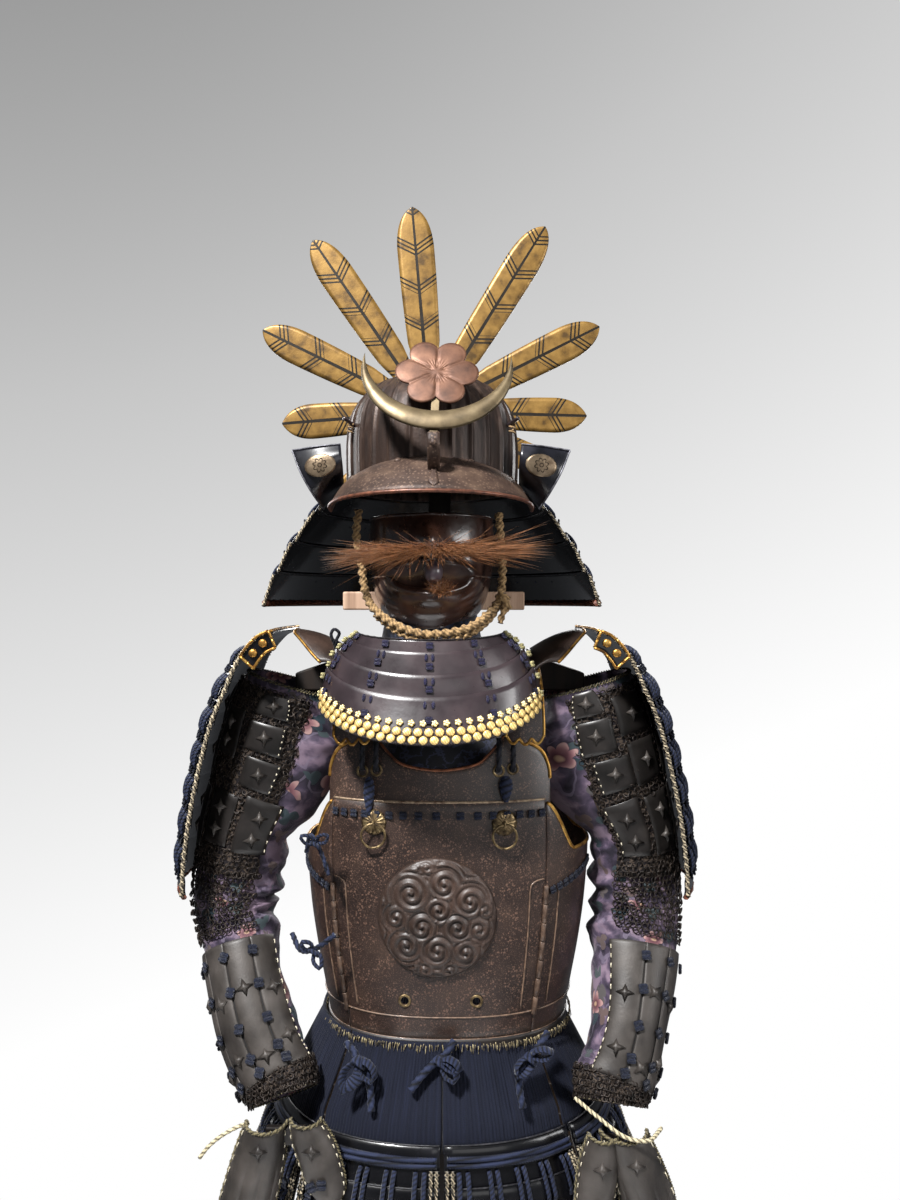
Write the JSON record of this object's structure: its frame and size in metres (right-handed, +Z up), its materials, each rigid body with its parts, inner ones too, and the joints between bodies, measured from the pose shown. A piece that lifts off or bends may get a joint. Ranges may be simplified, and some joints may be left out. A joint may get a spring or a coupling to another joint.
{
  "type": "samurai armour on a wooden armour stand",
  "caption": "Samurai armour with crested ridged helmet, face mask, cuirass with a wave roundel, laced skirt, shoulder guards and mailed brocade sleeves on a wooden stand.",
  "frame": {"origin": "on the floor under the stand's post, on the underside of its base", "axes": "+Z up, the armour faces -Y, +X is the wearer's left"},
  "size_m": [0.6564, 0.456, 1.5639],
  "materials": {
    "russet_iron": "russet patinated iron",
    "black_lacquer": "glossy black lacquer on iron and hide",
    "brown_lacquer": "polished brown-purple lacquer",
    "mask_lacquer": "glossy dark russet lacquer",
    "speckled_lacquer": "speckled brown lacquer on iron",
    "gold_leaf": "worn gold leaf",
    "brass": "aged brass",
    "copper": "rosy copper",
    "hair": "auburn bristle",
    "hemp": "twisted hemp rope",
    "leather": "black leather",
    "brocade": "purple silk brocade",
    "mail": "dark iron mail",
    "splint_iron": "lacquered iron splints",
    "silk_braid": "navy silk braid",
    "wood": "plain light wood"
  },
  "bodies": {
    "root": {"helmet_bowl": "russet_iron", "visor": "russet_iron", "neck_lame_1": "black_lacquer", "neck_lame_2": "black_lacquer", "neck_lame_3": "black_lacquer", "neck_lame_4": "black_lacquer", "turnback_left": "black_lacquer", "turnback_right": "black_lacquer", "crescent": "brass", "blossom": "copper", "crest_holder": "russet_iron", "feather_crest": "gold_leaf", "face_mask": "mask_lacquer", "moustache": "hair", "chin_tuft": "hair", "chin_cord": "hemp", "throat_lame_1": "brown_lacquer", "throat_lame_2": "brown_lacquer", "throat_lame_3": "brown_lacquer", "throat_lame_4": "brown_lacquer", "throat_lining": "leather", "front_plate": "speckled_lacquer", "roundel": "speckled_lacquer", "rosette_left": "brass", "rosette_right": "brass", "side_plate_left": "speckled_lacquer", "side_plate_right": "speckled_lacquer", "back_plate": "speckled_lacquer", "chest_plate": "speckled_lacquer", "shoulder_strap_left": "speckled_lacquer", "shoulder_strap_right": "speckled_lacquer", "tasset_front_right": "black_lacquer", "tasset_front_left": "black_lacquer", "tasset_side_right": "black_lacquer", "tasset_side_left": "black_lacquer", "tasset_rear_right": "black_lacquer", "tasset_rear_left": "black_lacquer", "tasset_back_right": "black_lacquer", "tasset_back_left": "black_lacquer", "waist_band": "leather", "sleeve_left": "brocade", "arm_mail_left": "mail", "forearm_guard_left": "splint_iron", "sleeve_right": "brocade", "arm_mail_right": "mail", "forearm_guard_right": "splint_iron", "hand_guard_left": "splint_iron", "hand_guard_right": "splint_iron", "shoulder_guard_left": "black_lacquer", "shoulder_guard_right": "black_lacquer", "stand": "wood", "wrist_lace_right": "silk_braid", "wrist_lace_left": "silk_braid", "side_tie_upper": "silk_braid", "side_tie_lower": "silk_braid", "waist_tie_right": "silk_braid", "waist_tie_middle": "silk_braid", "waist_tie_left": "silk_braid"},
    "ring_left": {"chest_ring_left": "brass"},
    "ring_right": {"chest_ring_right": "brass"}
  },
  "joints": [
    {"name": "ring_left_swing", "type": "hinge", "parent": "root", "child": "ring_left", "pos_m": [0.077, -0.1215, 0.738], "axis": [-1, 0, 0], "range_deg": [0, 150]},
    {"name": "ring_right_swing", "type": "hinge", "parent": "root", "child": "ring_right", "pos_m": [-0.077, -0.1173, 0.738], "axis": [-1, 0, 0], "range_deg": [0, 150]}
  ]
}
